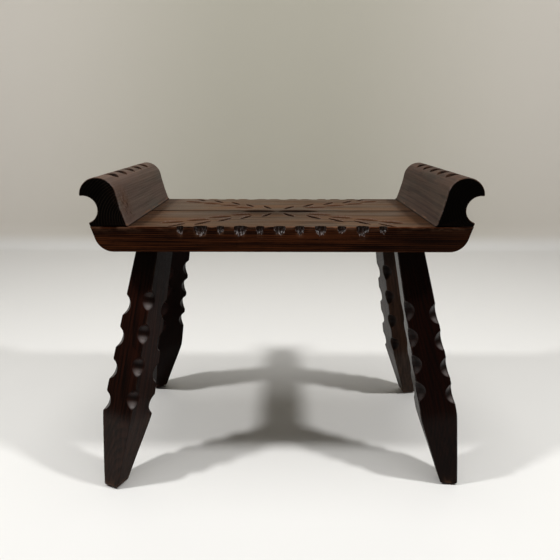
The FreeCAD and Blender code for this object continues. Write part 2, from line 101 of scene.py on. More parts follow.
# A barb of the feather carving: the first step of the rib that has it, its middle from that step along and
# across the seat in millimetres, its heading in degrees and the turn of it from step to step, and its half
# width as a share of the barb width. The first leans to the long edge, and the second runs along the seat.
Barb = namedtuple("Barb", "first along across heading turn slimness")
BARBS = (Barb(0, 7.5, 20, 66, -3, 0.45), Barb(1, 16, -1, 16, 3, 0.8))
RIB_STEPS = 5
# A wood's name, the tones it fades to, which also paint its sheen, the width of its growth rings, how soft
# its figure is, its roughness and its gleam, and the noise past which its ripped faces, and the glints
# painted with them, are ragged
Wood = namedtuple("Wood", "name faded ring softness roughness gleam tearing")
WOODS = (
    Wood("seat", "faded", 2.1 * MM, 0.86, 0.40, 0.004, 0.49),
    Wood("rest", "rubbed", 3.4 * MM, 1.9, 0.45, 0.010, 0.50),
    Wood("leg", "faded", 2.2 * MM, 1.1, 0.34, 0.010, 0.28),
)
# How hollow an edge notch is along its stroke, from 0 for a straight cut to 1 for a quarter round
SCOOP = 0.7
# What the plane left uneven on the broad faces, and on the edges and legs
PLANED = 0.25 * MM
SHAVED = 0.2 * MM
# How far inside the rim the carving comes to its full depth, and how far past the last notch it reaches
CARVING_MARGIN = 3 * MM
CARVING_PAST = 34 * MM
# How far below the seat's top the pith of its planks lay
PITH_DEPTH = 90 * MM
# How far out along X the inner foot of a rest goes
INNER_FOOT = 210 * MM
# Values of a plank's fields where nothing has happened to the wood
PLAIN_PLANK = {"cut": 0, "dirt": 0, "wear": 0, "end": 0, "torn": 0, "gloss": 0.02, "fade": 0}


def length(name, description, millimetres):
    """A property for a length, given in millimetres and kept in metres."""
    return FloatProperty(name=name, description=description, default=millimetres * MM, min=0, unit="LENGTH",
                         precision=5)


def colour(name, description, *value):
    """A property for a linear colour."""
    return FloatVectorProperty(name=name, description=description, default=value, size=3, min=0, max=1,
                               subtype="COLOR")


class SeatSizes(bpy.types.PropertyGroup):
    """Sizes of the seat planks and their carving."""
    end_slope: FloatProperty(name="End slope", description="Undercut of the plank ends, from upright",
                             default=math.radians(16.7), subtype="ANGLE")
    end_round: length("End round", "Radius from a plank's end to its underside", 23)
    arris: length("Arris", "Rounding of the long edges", 1.3)
    seam_gap: length("Seam gap", "Half the gap between the planks", 0.12)
    seam_round: length("Seam round", "Rounding of a plank's edge along the seam", 2.4)
    notch_pitch: length("Notch pitch", "Large notch to large notch along an edge", 51)
    notch_drift: length("Notch drift", "How far the notches stray along an edge", 2.6)
    large_notch: length("Large notch", "Half the width of a large notch", 8.6)
    small_notch: length("Small notch", "Half the width of a small notch", 5.4)
    large_reach: length("Large reach", "How far a large notch cuts back the edge", 11.0)
    small_reach: length("Small reach", "How far a small notch cuts back the edge", 9.2)
    notch_lean: FloatProperty(name="Notch lean", description="Share of that reach that shows on the top",
                              default=0.62, min=0, max=1, subtype="FACTOR")
    rib_start_along: length("Rib start along", "First step of a feather's rib along the seat", 9)
    rib_start_across: length("Rib start across", "First step of a feather's rib across the seat", 14)
    rib_along: length("Rib along", "Step of a feather's rib along the seat", 29.3)
    rib_across: length("Rib across", "Step of a feather's rib across the seat", 20)
    rib_sway: length("Rib sway", "How far those steps stray", 1.8)
    barb_length: length("Barb length", "Length of one cut of the feather carving", 36)
    barb_width: length("Barb width", "Width of one cut of the feather carving", 8.5)
    barb_depth: length("Barb depth", "Depth of one cut of the feather carving", 2.8)
    heart_length: length("Heart length", "Length of the two long cuts on the seam", 62)
    heart_width: length("Heart width", "Half the width of the two long cuts on the seam", 12)
    heart_depth: length("Heart depth", "Depth of the two long cuts on the seam", 4.0)
    heart_shift: length("Heart shift", "How far left of the middle the heart is cut", 8)
    heart_spread: length("Heart spread", "How far along the seat that shift dies away", 45)


class RestSizes(bpy.types.PropertyGroup):
    """Sizes of the rolled end rests."""
    roll_radius: length("Roll radius", "Radius of the rolled top", 23.3)
    grip_radius: length("Grip radius", "Radius of the finger grip", 17)
    grip_lip: length("Grip lip", "Wood between the grip and the seat", 4.3)
    grip_inset: length("Grip inset", "Centre of the grip inside the tip", 4)
    tip_round: length("Tip round", "Rounding of the tip and the lip of the grip", 1.6)
    foot_flare: length("Foot flare", "How far the inner face spreads out at its foot", 3.4)
    face_hollow: length("Face hollow", "How hollow the inner face is, halfway up", 0.8)
    foot_bevel: length("Foot bevel", "Bevel along the inner foot", 1.6)
    heel_round: length("Heel round", "Rounding of the outer foot", 0.4)
    end_round: length("End round", "Rounding of the front and back edges", 1.4)
    gouge_pitch: length("Gouge pitch", "Between the cuts across the crest", 39)
    gouge_width: length("Gouge width", "Half the width of those cuts", 10.5)
    gouge_depth: length("Gouge depth", "Depth of those cuts", 4.0)
    gouge_reach: length("Gouge reach", "How far those cuts go to each side of the crest", 14)
    scuff_front: length("Scuff front", "Scuff on an inner face, in front of the middle", 100)
    scuff_up: length("Scuff up", "That scuff's height above the seat", 26)
    scuff_width: length("Scuff width", "That scuff's spread from front to back", 16)
    scuff_height: length("Scuff height", "That scuff's spread upwards", 17)


class LegSizes(bpy.types.PropertyGroup):
    """Sizes of the splayed legs."""
    end_inset: length("End inset", "Top of a leg's axis from the seat's end", 69.6)
    side_inset: length("Side inset", "Top of a leg's axis from the long edge", 47)
    top_width: length("Top width", "Square section at the seat", 34.7)
    knee_width: length("Knee width", "Square section at the knee", 49.2)
    knee_drop: length("Knee drop", "Seat to knee along the axis", 237.5)
    knee_round: length("Knee round", "How much the round at the knee takes off the section, twice", 2.0)
    foot_width: length("Foot width", "Square section at the floor, before its bevel", 22)
    foot_bevel: length("Foot bevel", "Bevel round the sole", 3.5)
    arris: length("Arris", "Chamfer left along a leg's edges", 1.5)
    notch_radius: length("Notch radius", "Gouge sweep of the edge notches", 17)
    notch_depth: length("Notch depth", "Depth of the edge notches below the edge", 8.2)


class WoodColours(bpy.types.PropertyGroup):
    """Colours of the stained wood."""
    seat_light: colour("Seat light", "Early wood of the seat", 0.053, 0.0152, 0.0052)
    seat_dark: colour("Seat dark", "Late wood of the seat", 0.0060, 0.0022, 0.0013)
    rest_light: colour("Rest light", "Early wood of the end rests", 0.046, 0.0190, 0.0110)
    rest_dark: colour("Rest dark", "Late wood of the end rests", 0.0120, 0.0056, 0.0038)
    leg_light: colour("Leg light", "Early wood of the legs", 0.0140, 0.0026, 0.0013)
    leg_dark: colour("Leg dark", "Late wood of the legs", 0.0026, 0.0008, 0.0006)
    cut_fresh: colour("Cut", "Wood laid open by a carved cut", 0.058, 0.022, 0.010)
    # Dirt in the bottom of a cut, also laid on as painted shade in notches, on leg tops and on shaded legs
    dirt_and_shade_tone: colour("Deep cut", "Dirt and stain in the bottom of a cut", 0.004, 0.002, 0.0014)
    # Rubbed-through wood, also painted along the rests' foot bevel as a highlight
    worn: colour("Worn", "Edges rubbed through the stain", 0.140, 0.068, 0.038)
    end_grain: colour("End grain", "End grain that drank the stain", 0.0010, 0.0007, 0.0005)
    # The faded tones also paint the sheen of the seat's top and the light on the legs
    faded_light: colour("Faded light", "Early wood where the stain has faded", 0.117, 0.074, 0.046)
    faded_dark: colour("Faded dark", "Late wood where the stain has faded", 0.035, 0.0220, 0.0141)
    faded_warm: colour("Faded warm", "Faded patches that are still red", 0.120, 0.060, 0.030)
    faded_cool: colour("Faded cool", "Faded patches that have greyed", 0.066, 0.053, 0.041)
    # The rubbed tones also paint the sheen on the rests' inner faces and roll
    rubbed_light: colour("Rubbed light", "Early wood of the rests where hands rub them", 0.120, 0.085, 0.066)
    rubbed_dark: colour("Rubbed dark", "Late wood of the rests where hands rub them", 0.046, 0.033, 0.027)
    rubbed_warm: colour("Rubbed warm", "Rubbed patches that are still red", 0.098, 0.064, 0.052)
    rubbed_cool: colour("Rubbed cool", "Rubbed patches that have greyed", 0.064, 0.058, 0.048)
    # Ripped fibres, also laid on as painted glints in the seat's notches, round the carving and on the legs'
    # notch lips
    torn: colour("Torn", "Torn fibres in a notch", 0.27, 0.235, 0.225)
    dowel: colour("Dowel", "Bare beech", 0.62, 0.46, 0.30)


class StageSizes(bpy.types.PropertyGroup):
    """Sizes and tones of the stage."""
    floor_tone: colour("Floor", "Pale floor", 0.80, 0.79, 0.765)
    wall_tone: colour("Backdrop", "Pale backdrop, in the middle", 0.42, 0.40, 0.335)
    # The backdrop's sides are painted lighter, as painted light
    lit_side_tone: colour("Backdrop sides", "Pale backdrop, to the sides", 0.66, 0.62, 0.56)
    surround_tone: colour("Surround", "What the eye sees past the backdrop", 0.36, 0.345, 0.30)
    floor_width: length("Floor width", "Width of the floor and backdrop", 9000)
    floor_front: length("Floor front", "Floor in front of the stool", 4000)
    wall_back: length("Backdrop distance", "Backdrop behind the stool", 1350)
    wall_bend: length("Backdrop bend", "Radius from the floor to the backdrop", 100)
    wall_height: length("Backdrop height", "Backdrop above the floor", 3200)
    lamp_side: length("Lamp side", "Lamps to each side", 800)
    lamp_front: length("Lamp front", "Lamps in front", 345)
    lamp_height: length("Lamp height", "Lamps above the floor", 1340)
    lamp_size: length("Lamp size", "Radius of a lamp", 60)
    lamp_power: FloatProperty(name="Lamp power", description="Power of each lamp", default=46, unit="POWER")
    panel_size: length("Panel size", "Side of the panel overhead", 1300)
    panel_front: length("Panel front", "Panel in front of the stool", 200)
    panel_height: length("Panel height", "Panel above the floor", 2600)
    panel_power: FloatProperty(name="Panel power", description="Power of the panel", default=21, unit="POWER")


def smooth_step(low, high, value):
    """0 below low, 1 above high, and a smooth S between."""
    share = np.clip((value - low) / (high - low), 0, 1)
    return share * share * (3 - 2 * share)


def soft_max(first, second, width):
    """The larger of two values, rounded over where they cross within about this width."""
    gap = first - second
    return (first + second + np.sqrt(gap * gap + width * width)) / 2


def strongest(*values):
    """The largest of several values at every point."""
    return functools.reduce(np.maximum, values)


def bump(*shares):
    """A round bump: exp of minus the sum of the squares of these shares of its spread."""
    return np.exp(-sum(share ** 2 for share in shares))


def dense_ends(start, stop, count):
    """Count steps from start to stop, closer together towards both ends."""
    return start + (stop - start) * (1 - np.cos(np.linspace(0, np.pi, count + 1))) / 2


def notch_places(centres, widths, step, count):
    """Places along a notched edge.

    They lie about a step apart in a notch, crowded at its sides, and a count of them goes between two.
    """
    starts, stops = centres - widths, centres + widths
    places = [dense_ends(start, stop, round((stop - start) / step)) for start, stop in zip(starts, stops)]
    return places + [np.linspace(stop, start, count) for stop, start in zip(stops[:-1], starts[1:])]


def merge(places):
    """Lists of places in one row, in order, each once, to a thousandth of a millimetre."""
    return np.unique(np.round(np.concatenate(places), 6))


def ripple(along, across, seed):
    """Hand-planed unevenness from 0 to 1: three crossing waves of 30 to 120 mm, added up."""
    waves = (np.sin(along * 53 + across * 21 + seed) + np.sin(along * 97 - across * 64 + 2.3 * seed)
             + np.sin(along * 31 + across * 140 + 4.1 * seed))
    return (waves + 3) / 6


def arc(centre, radius, start, stop, count):
    """Points on a circle from one angle to another, both ends included."""
    turn = np.linspace(start, stop, count)
    return np.stack([centre[0] + radius * np.cos(turn), centre[1] + radius * np.sin(turn)], axis=1)


def bearing(point, centre):
    """The angle of a point seen from a centre."""
    return math.atan2(point[1] - centre[1], point[0] - centre[0])


def make_piece(name, points, fields, node, slot):
    """A closed mesh from rings of points: quads between the rings, and a flat face on the first and last.

    Points has one row for each ring. Fields are values kept on the points for the material to read.
    """
    rings, count = points.shape[:2]
    corners = np.arange(rings * count).reshape(rings, count)
    beside = np.roll(corners, -1, axis=1)
    quads = np.stack([corners[:-1], beside[:-1], beside[1:], corners[1:]], axis=-1).reshape(-1, 4)
    flat = points.reshape(-1, 3)
    first, second, third, fourth = (flat[quads[:, place]] for place in range(4))
    volume = np.einsum("ij,ij->", first, np.cross(second, third) + np.cross(third, fourth))
    caps = [corners[0][::-1].tolist(), corners[-1].tolist()]
    if volume < 0:
        quads = quads[:, ::-1]
        caps = [cap[::-1] for cap in caps]
    mesh = bpy.data.meshes.new(name)
    mesh.from_pydata(flat.tolist(), [], quads.tolist() + caps)
    smooth = np.ones(len(quads) + len(caps), dtype=bool)
    smooth[-len(caps):] = False
    mesh.polygons.foreach_set("use_smooth", smooth)
    for field, values in fields.items():
        kind, key, shape = ("FLOAT", "value", points.shape[:2])
        if np.ndim(values) == points.ndim:
            kind, key, shape = ("FLOAT_VECTOR", "vector", points.shape)
        full = np.broadcast_to(values, shape).astype(np.float32)
        mesh.attributes.new(field, kind, "POINT").data.foreach_set(key, full.ravel())
    mesh.update()
    piece = bpy.data.objects.new(name, mesh)
    bpy.context.scene.collection.objects.link(piece)
    mesh.materials.append(bpy.data.materials[f"{slot}_finish"])
    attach(piece, "root")
    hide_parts(node)


def edge_notches(seat, side):
    """The centres, half widths and reaches of the notches along an edge, small ones at the ends and midway.

    Gentle waves make each notch a little wider, deeper or further on than the last, as a hand does.
    """
    order = np.arange(-5, 6)
    large = order % 2 == 0
    centres = order * seat.notch_pitch / 2 + side * seat.notch_drift * bump((order - 0.8) / 2)
    width = np.where(large, seat.large_notch, seat.small_notch)
    reach = np.where(large, seat.large_reach, seat.small_reach)
    uneven_width = 1 + 0.12 * np.sin(2.7 * order + side)
    uneven_reach = 1 + 0.10 * np.sin(4.1 * order + 2 * side)
    return centres, width * uneven_width, reach * uneven_reach


def seat_outline(seat, side):
    """Places along the seat and the height of its underside there.

    The underside is level, turns up through a round at each end and follows the sloping end to the top.
    Places crowd together at the sides of each notch, where its rim is steep.
    """
    centres, widths, _ = edge_notches(seat, side)
    places = notch_places(centres, widths, 0.75 * MM, 11)
    slant = math.tan(seat.end_slope)
    corner = SEAT_HIGH[0] - (SEAT_HIGH[2] - SEAT_LOW[2]) * slant
    tangent = seat.end_round / math.tan((math.pi / 2 + seat.end_slope) / 2)
    centre = (corner - tangent, SEAT_LOW[2] + seat.end_round)
    for end, notch in ((-1, centres[0] - widths[0]), (1, centres[-1] + widths[-1])):
        carved = notch + end * CARVING_PAST
        places += [np.linspace(notch, carved, 30), np.linspace(carved, end * centre[0], 14)]
    level = merge(places)
    turn = arc(centre, seat.end_round, -math.pi / 2, -seat.end_slope, 16)[1:]
    rise = np.linspace(turn[-1, 1], SEAT_HIGH[2] - 0.3 * MM, 8)[1:]
    end = np.concatenate([turn, np.stack([SEAT_HIGH[0] - (SEAT_HIGH[2] - rise) * slant, rise], axis=1)])
    x = np.concatenate([-end[::-1, 0], level, end[:, 0]])
    z = np.concatenate([end[::-1, 1], np.full(len(level), SEAT_LOW[2]), end[:, 1]])
    return x[:, None], z[:, None]


def notch_reach(seat, side, x):
    """How far the notches cut down the edge.

    A gouge driven down across the edge leaves a U on both faces: one less a power of the share of its half
    width, deeper to one side. Small waves along it are the ridges between strokes. Elsewhere only the arris
    is left.
    """
    reach = np.full_like(x, seat.arris)
    for number, (centre, width, full) in enumerate(zip(*edge_notches(seat, side))):
        aside = np.clip((x - centre) / width, -1, 1)
        hollow = np.maximum(1 - np.abs(aside) ** 2.4, 0) ** 0.6
        lopsided = 1 + 0.16 * math.sin(5.1 * number + 2) * aside
        flutes = (1 + 0.10 * np.sin((x - centre) * 2600 + 2.4 * number)
                  + 0.07 * np.sin((x - centre) * 1150 + 1.3 * number))
        reach = np.maximum(reach, full * hollow * lopsided * flutes)
    return reach


def leaf_cut(x, across, middle, heading, half_length, half_width, depth):
    """Depth of one leaf-shaped gouge cut: blunt ends, steep on one side and shallow on the other."""
    along = (x - middle[0]) * math.cos(heading) + (across - middle[1]) * math.sin(heading)
    aside = (across - middle[1]) * math.cos(heading) - (x - middle[0]) * math.sin(heading)
    taper = np.maximum(1 - np.abs(along / half_length) ** 3, 0)
    share = aside / (half_width * taper + 0.1 * MM)
    deepest = -0.35
    wall = np.maximum(1 - np.abs(share - deepest) / np.where(share < deepest, 1 + deepest, 1 - deepest), 0)
    return depth * taper * wall


def feather_depth(seat, x, across, side, spread=1):
    """Depths of the feather carving: barbs that lean to the long edge, barbs along the seat, and the heart.

    A rib runs in even steps from the heart towards each corner. From every step one barb leans to the long
    edge and one runs along the seat, and a gentle wave sets them off their places. Two long cuts on the seam
    make the heart. Spread widens every barb.
    """
    depths = np.zeros((len(BARBS) + 1, *np.broadcast(x, across).shape))
    along = x + seat.heart_shift * bump(x / seat.heart_spread)
    heart = ((0.46 * seat.heart_length, 0), 0, seat.heart_length / 2, seat.heart_width, seat.heart_depth)
    for end in (-1, 1):
        cuts = [(len(BARBS), *heart)]
        for step in range(RIB_STEPS):
            sway = seat.rib_sway * math.sin(step * 2.1 + end + 0.7 * side)
            rib_along = seat.rib_start_along + step * seat.rib_along + sway
            rib_across = seat.rib_start_across + step * seat.rib_across - sway
            cuts += [(kind, (rib_along + barb.along * MM, rib_across + barb.across * MM),
                      math.radians(barb.heading + barb.turn * step), seat.barb_length / 2,
                      barb.slimness * seat.barb_width * spread, seat.barb_depth)
                     for kind, barb in enumerate(BARBS) if step >= barb.first]
        for kind, *cut in cuts:
            depths[kind] = np.maximum(depths[kind], leaf_cut(end * along, across, *cut))
    return depths


def join_zones(parts, shapes):
    """Parts of a section side by side, each spread over the rows and columns of its zone."""
    return np.concatenate([np.broadcast_to(part, shape) for part, shape in zip(parts, shapes)], axis=1)


def plank_surface(seat, plank):
    """One seat plank: a section carried along X, from the seam over the top, the edge and the underside.

    Across is the distance from the seam. The section's corner at the long edge is cut back by the notches in
    a shallow scoop, further down the edge than over the top, and its underside follows the outline.
    """
    side = plank.side
    x, under = seat_outline(seat, side)
    top = SEAT_HIGH[2]
    edge = -SEAT_LOW[1]
    height = top - under
    reach = np.minimum(notch_reach(seat, side, x), 0.44 * height)
    arris = np.minimum(seat.arris, 0.4 * height)
    back = arris + (reach - arris) * seat.notch_lean

    near_seam = np.array([0, 0.15, 0.35, 0.6, 0.8, 1.0]) * seat.seam_round / edge
    share = np.concatenate([near_seam, np.linspace(near_seam[-1] + 0.006, 0.992, 112), [0.9975, 1]])
    top_across = seat.seam_gap + (edge - back - seat.seam_gap) * share
    seam = np.clip(seat.seam_round - (top_across - seat.seam_gap), 0, None)
    seam_drop = seat.seam_round - np.sqrt(np.maximum(seat.seam_round ** 2 - seam ** 2, 0))
    rim = edge - back - top_across
    cuts = feather_depth(seat, x, top_across, side) * smooth_step(0, CARVING_MARGIN, rim)
    planed = PLANED * ripple(x, side * top_across, 1.7) * smooth_step(0, 8 * MM, rim)
    top_z = top - cuts.max(axis=0) - seam_drop - planed

    turn = dense_ends(0, 1, 20)[1:-1]
    rounded = 1 - smooth_step(seat.arris, 2.5 * seat.arris, reach)
    outward = np.sin(turn * math.pi / 2)
    upward = np.cos(turn * math.pi / 2)
    scooped_out = SCOOP * (1 - upward) + (1 - SCOOP) * turn
    scooped_up = SCOOP * (1 - outward) + (1 - SCOOP) * (1 - turn)
    edge_across = edge - back + back * (rounded * outward + (1 - rounded) * scooped_out)
    edge_z = top - reach + reach * (rounded * upward + (1 - rounded) * scooped_up)

    fall = dense_ends(0, 1, 18)
    side_z = top - reach + (under + arris - top + reach) * fall
    from_edge = top - reach - side_z
    side_across = edge - SHAVED * ripple(x, side_z, 5.1) * smooth_step(0, 6 * MM, from_edge)

    bend = np.linspace(0, math.pi / 2, 6)[1:-1]
    low_across = edge - arris + arris * np.cos(bend)
    low_z = under + arris - arris * np.sin(bend)
    floor_across = (edge - arris) + (seat.seam_gap - edge + arris) * np.linspace(0, 1, 12)
    climb = np.linspace(0, 1, 5)[1:-1]
    seam_z = under + (top_z[:, :1] - under) * climb

    notched = smooth_step(seat.arris, 3 * seat.arris, reach)
    end_turn = np.clip((np.abs(x) - (SEAT_HIGH[0] - seat.end_round - 4 * MM)) / (12 * MM), 0, 1)
    # Each edge notch gets painted shade, darkest at its top, and pale flecks towards its lower lip painted as
    # glints
    notch_tones = {"dirt": notched * (0.97 - 0.4 * turn), "wear": 1 - notched, "gloss": 0.02 + 0.12 * notched,
                   "torn": notched * (0.12 + 0.6 * smooth_step(0.4, 0.85, turn))}
    # The front face darkens towards its right end
    side_tones = {"dirt": 0.6 * smooth_step(30 * MM, 190 * MM, x),
                  "wear": 0.8 * np.exp(-from_edge / (2.5 * MM))}
    zones = (
        (top_across, top_z, top_tones(seat, plank, x, top_across, rim, cuts, notched)),
        (edge_across, edge_z, notch_tones),
        (side_across, side_z, side_tones),
        (low_across, low_z, {"wear": 0.5, "end": end_turn}),
        (floor_across, under, {"end": end_turn}),
        (seat.seam_gap, seam_z, {"dirt": 1}),
    )
    shapes = [np.broadcast(across, z).shape for across, z, _ in zones]
    y = side * join_zones([zone[0] for zone in zones], shapes)
    z = join_zones([zone[1] for zone in zones], shapes)
    fields = {name: join_zones([zone[2].get(name, plain) for zone in zones], shapes)
              for name, plain in PLAIN_PLANK.items()}
    along = np.broadcast_to(x, z.shape)
    fields["grain"] = np.stack([y - side * plank.pith, z - top + PITH_DEPTH, along + 0.7 * side], axis=-1)
    return np.stack([along, y, z], axis=-1), fields


def top_tones(seat, plank, x, across, rim, cuts, notched):
    """Fields of a plank's top: new-cut colour at the sides of the cuts and dark in their depth.

    Light flecks and a pale rim round the cuts are painted highlights. A smudge lies round the heart and a
    dark line along the seam. The rim is worn. The face is faded and paler with painted sheen, and darker with
    painted shade beside the rests.
    """
    leaning, running, heart = cuts / seat.barb_depth
    carved = cuts.max(axis=0) / seat.barb_depth
    inside = smooth_step(0, CARVING_MARGIN, rim)
    around = feather_depth(seat, x, across, plank.side, 2.2) * inside / seat.barb_depth
    halo = feather_depth(seat, x, across, plank.side, 3.6)[:2].max(axis=0) / seat.barb_depth
    # Light flecks just outside the cuts, and a pale rim round them, are painted highlights
    burr_glint = smooth_step(0.05, 0.35, around[:2].max(axis=0)) - smooth_step(0, 0.1, carved)
    fresh_and_lit = strongest(smooth_step(0.01, 0.12, carved), 0.7 * smooth_step(0.05, 0.5, around[1]),
                      0.36 * smooth_step(0.0, 0.6, halo))
    smudge = plank.smudge * bump((x + plank.smudge_left) / plank.smudge_along, across / plank.smudge_across)
    seam_dirt = 0.95 * (1 - smooth_step(1.5 * MM, 5 * MM, across))
    dirt = strongest(0.97 * smooth_step(0.05, 0.3, np.maximum(leaning, heart)), smudge, seam_dirt,
                     0.6 * smooth_step(0.15, 0.5, running))
    # Painted shade: the top is made less faded, so darker, next to each rest
    by_rest = smooth_step(REST_LOW[0] - 50 * MM, REST_LOW[0], np.abs(x))
    return {"cut": fresh_and_lit, "dirt": dirt, "wear": np.exp(-rim / (3 * MM)) * (1 - 0.65 * notched),
            "torn": 0.32 * np.clip(burr_glint, 0, 1), "fade": plank.fade - 0.5 * by_rest}


def round_corner(before, corner, after, radius, count):
    """Points of a round between two straight lines that meet at a corner."""
    into = (before - corner) / np.linalg.norm(before - corner)
    out = (after - corner) / np.linalg.norm(after - corner)
    half = math.acos(np.dot(into, out)) / 2
    middle = (into + out) / np.linalg.norm(into + out)
    centre = corner + middle * radius / math.sin(half)
    start = bearing(corner + into * radius / math.tan(half), centre)
    stop = bearing(corner + out * radius / math.tan(half), centre)
    sweep = (stop - start + math.pi) % (2 * math.pi) - math.pi
    return arc(centre, radius, start, start + sweep, count)


def meet_circles(first, first_radius, second, second_radius):
    """Where two circles meet, to the left of the line from the first centre to the second."""
    gap = second - first
    distance = np.linalg.norm(gap)
    along = (distance ** 2 + first_radius ** 2 - second_radius ** 2) / (2 * distance)
    aside = math.sqrt(first_radius ** 2 - along ** 2)
    unit = gap / distance
    return first + along * unit + aside * np.array([-unit[1], unit[0]])


def between(start, stop, shares):
    """Points on a straight line, at these shares of its length."""
    return start + (stop - start) * np.reshape(shares, (-1, 1))


def rest_profile(sizes, slope):
    """The outline of the right end rest in X and Z, from its inner foot over the roll to its heel.

    The inner face is a tangent to the roll, a little hollow. Small rounds join the roll to the grip at the
    tip, and the grip to the sloping end at the lip.
    """
    seat = REST_LOW[2]
    roll = np.array([REST_HIGH[0] - sizes.roll_radius, REST_HIGH[2] - sizes.roll_radius])
    grip = np.array([REST_HIGH[0] - sizes.grip_inset, seat + sizes.grip_lip + sizes.grip_radius])
    foot = np.array([REST_LOW[0] - sizes.foot_flare, seat])
    heel = np.array([SEAT_HIGH[0], seat])
    lean = bearing(foot, roll) - math.acos(sizes.roll_radius / np.linalg.norm(foot - roll))
    touch = roll + sizes.roll_radius * np.array([math.cos(lean), math.sin(lean)])

    tip = meet_circles(roll, sizes.roll_radius - sizes.tip_round, grip, sizes.grip_radius + sizes.tip_round)
    rise = np.array([math.sin(slope), math.cos(slope)])
    inward = np.array([-math.cos(slope), math.sin(slope)])
    start = heel + sizes.tip_round * inward - grip
    reach = (sizes.grip_radius + sizes.tip_round) ** 2
    climb = -np.dot(start, rise) - math.sqrt(np.dot(start, rise) ** 2 - np.dot(start, start) + reach)
    lip = heel + sizes.tip_round * inward + climb * rise
    lip_end = lip - sizes.tip_round * inward

    full_turn = 2 * math.pi
    tip_angle = bearing(tip, roll)
    grip_start = bearing(tip, grip)
    grip_stop = bearing(lip, grip) % full_turn
    slant = (touch - foot) / np.linalg.norm(touch - foot)
    bevel_top = foot + slant * 2 * sizes.foot_bevel + np.array([0.5 * sizes.foot_bevel, 0])
    foot_step = foot + np.array([0, 0.4 * sizes.foot_bevel])
    up_face = np.linspace(0, 1, 30)[1:-1]
    hollow = sizes.face_hollow * np.sin(math.pi * up_face)[:, None] * np.array([slant[1], -slant[0]])
    heel_arc = round_corner(lip, heel, foot, sizes.heel_round, 3)
    return np.concatenate([
        between(foot, foot_step, (0, 0.5, 0.9)),
        between(foot_step, bevel_top, (0.06, 0.35, 0.65, 0.94)),
        between(bevel_top, touch, up_face) + hollow,
        arc(roll, sizes.roll_radius, lean % full_turn, tip_angle, 110),
        arc(tip, sizes.tip_round, tip_angle, grip_start - math.pi, 8)[1:-1],
        arc(grip, sizes.grip_radius, grip_start, grip_stop, 40),
        arc(lip, sizes.tip_round, grip_stop + math.pi, full_turn + bearing(lip_end, lip), 7)[1:-1],
        between(lip_end, heel_arc[0], np.linspace(0, 1, 4)[:-1]),
        heel_arc,
        between(heel_arc[-1], foot, np.linspace(0, 1, 14)[1:-1]),
    ])


def rest_surface(sizes, slope, rest):
    """One end rest: its outline carried along Y, drawn in round both ends, with gouge cuts on the crest.

    A cut is a teardrop across the crest, thin on the outside and blunt on the inside. Its depth falls off
    from its middle as one less the square of the share of its width there.
    """
    outline = rest_profile(sizes, slope)
    following = np.roll(outline, -1, axis=0) - np.roll(outline, 1, axis=0)
    outward = np.stack([-following[:, 1], following[:, 0]], axis=1)
    outward /= np.linalg.norm(outward, axis=1)[:, None]

    half = REST_HIGH[1]
    centres = np.arange(-2, 3) * sizes.gouge_pitch
    outer = np.linspace(centres[-1] + sizes.gouge_width, half - sizes.end_round, 36)
    level = merge(notch_places(centres, sizes.gouge_width, 1.05 * MM, 12) + [outer, -outer])
    turn = np.linspace(0, math.pi / 2, 7)[1:]
    end = half - sizes.end_round + sizes.end_round * np.sin(turn)
    y = np.concatenate([-end[::-1], level, end])[:, None]
    inset = sizes.end_round * (1 - np.cos(turn))
    inset = np.concatenate([inset[::-1], np.zeros(len(level)), inset])[:, None]

    planed = PLANED * ripple(y, outline[:, 1] * 2 + outline[:, 0], 2.9 + rest.side)
    shrink = inset + planed * smooth_step(0, 2 * MM, outline[:, 1] - REST_LOW[2])
    x = outline[:, 0] - shrink * outward[:, 0]
    z = outline[:, 1] - shrink * outward[:, 1]
    inward = REST_HIGH[0] - sizes.roll_radius - x
    share = np.clip((inward + sizes.gouge_reach) / (2 * sizes.gouge_reach), 0, 1)
    on_roll = z > REST_HIGH[2] - sizes.roll_radius / 2
    swelling = 1.55 * share ** 0.9 * (1 - share ** 6) * on_roll
    gouge = np.zeros_like(z)
    for middle in centres:
        aside = (y - middle) / (sizes.gouge_width * swelling + 0.01 * MM)
        gouge = np.maximum(gouge, sizes.gouge_depth * swelling * np.maximum(1 - aside ** 2, 0))
    fields = rest_tones(sizes, rest, outline, outward, y, z, inset, gouge)
    along = np.broadcast_to(y, z.shape)
    fields["grain"] = np.stack([x - rest.pith_out, z - gouge - REST_LOW[2] - rest.pith_up,
                                along + 0.9 * rest.side], axis=-1)
    return np.stack([rest.side * x, along, z - gouge], axis=-1), fields


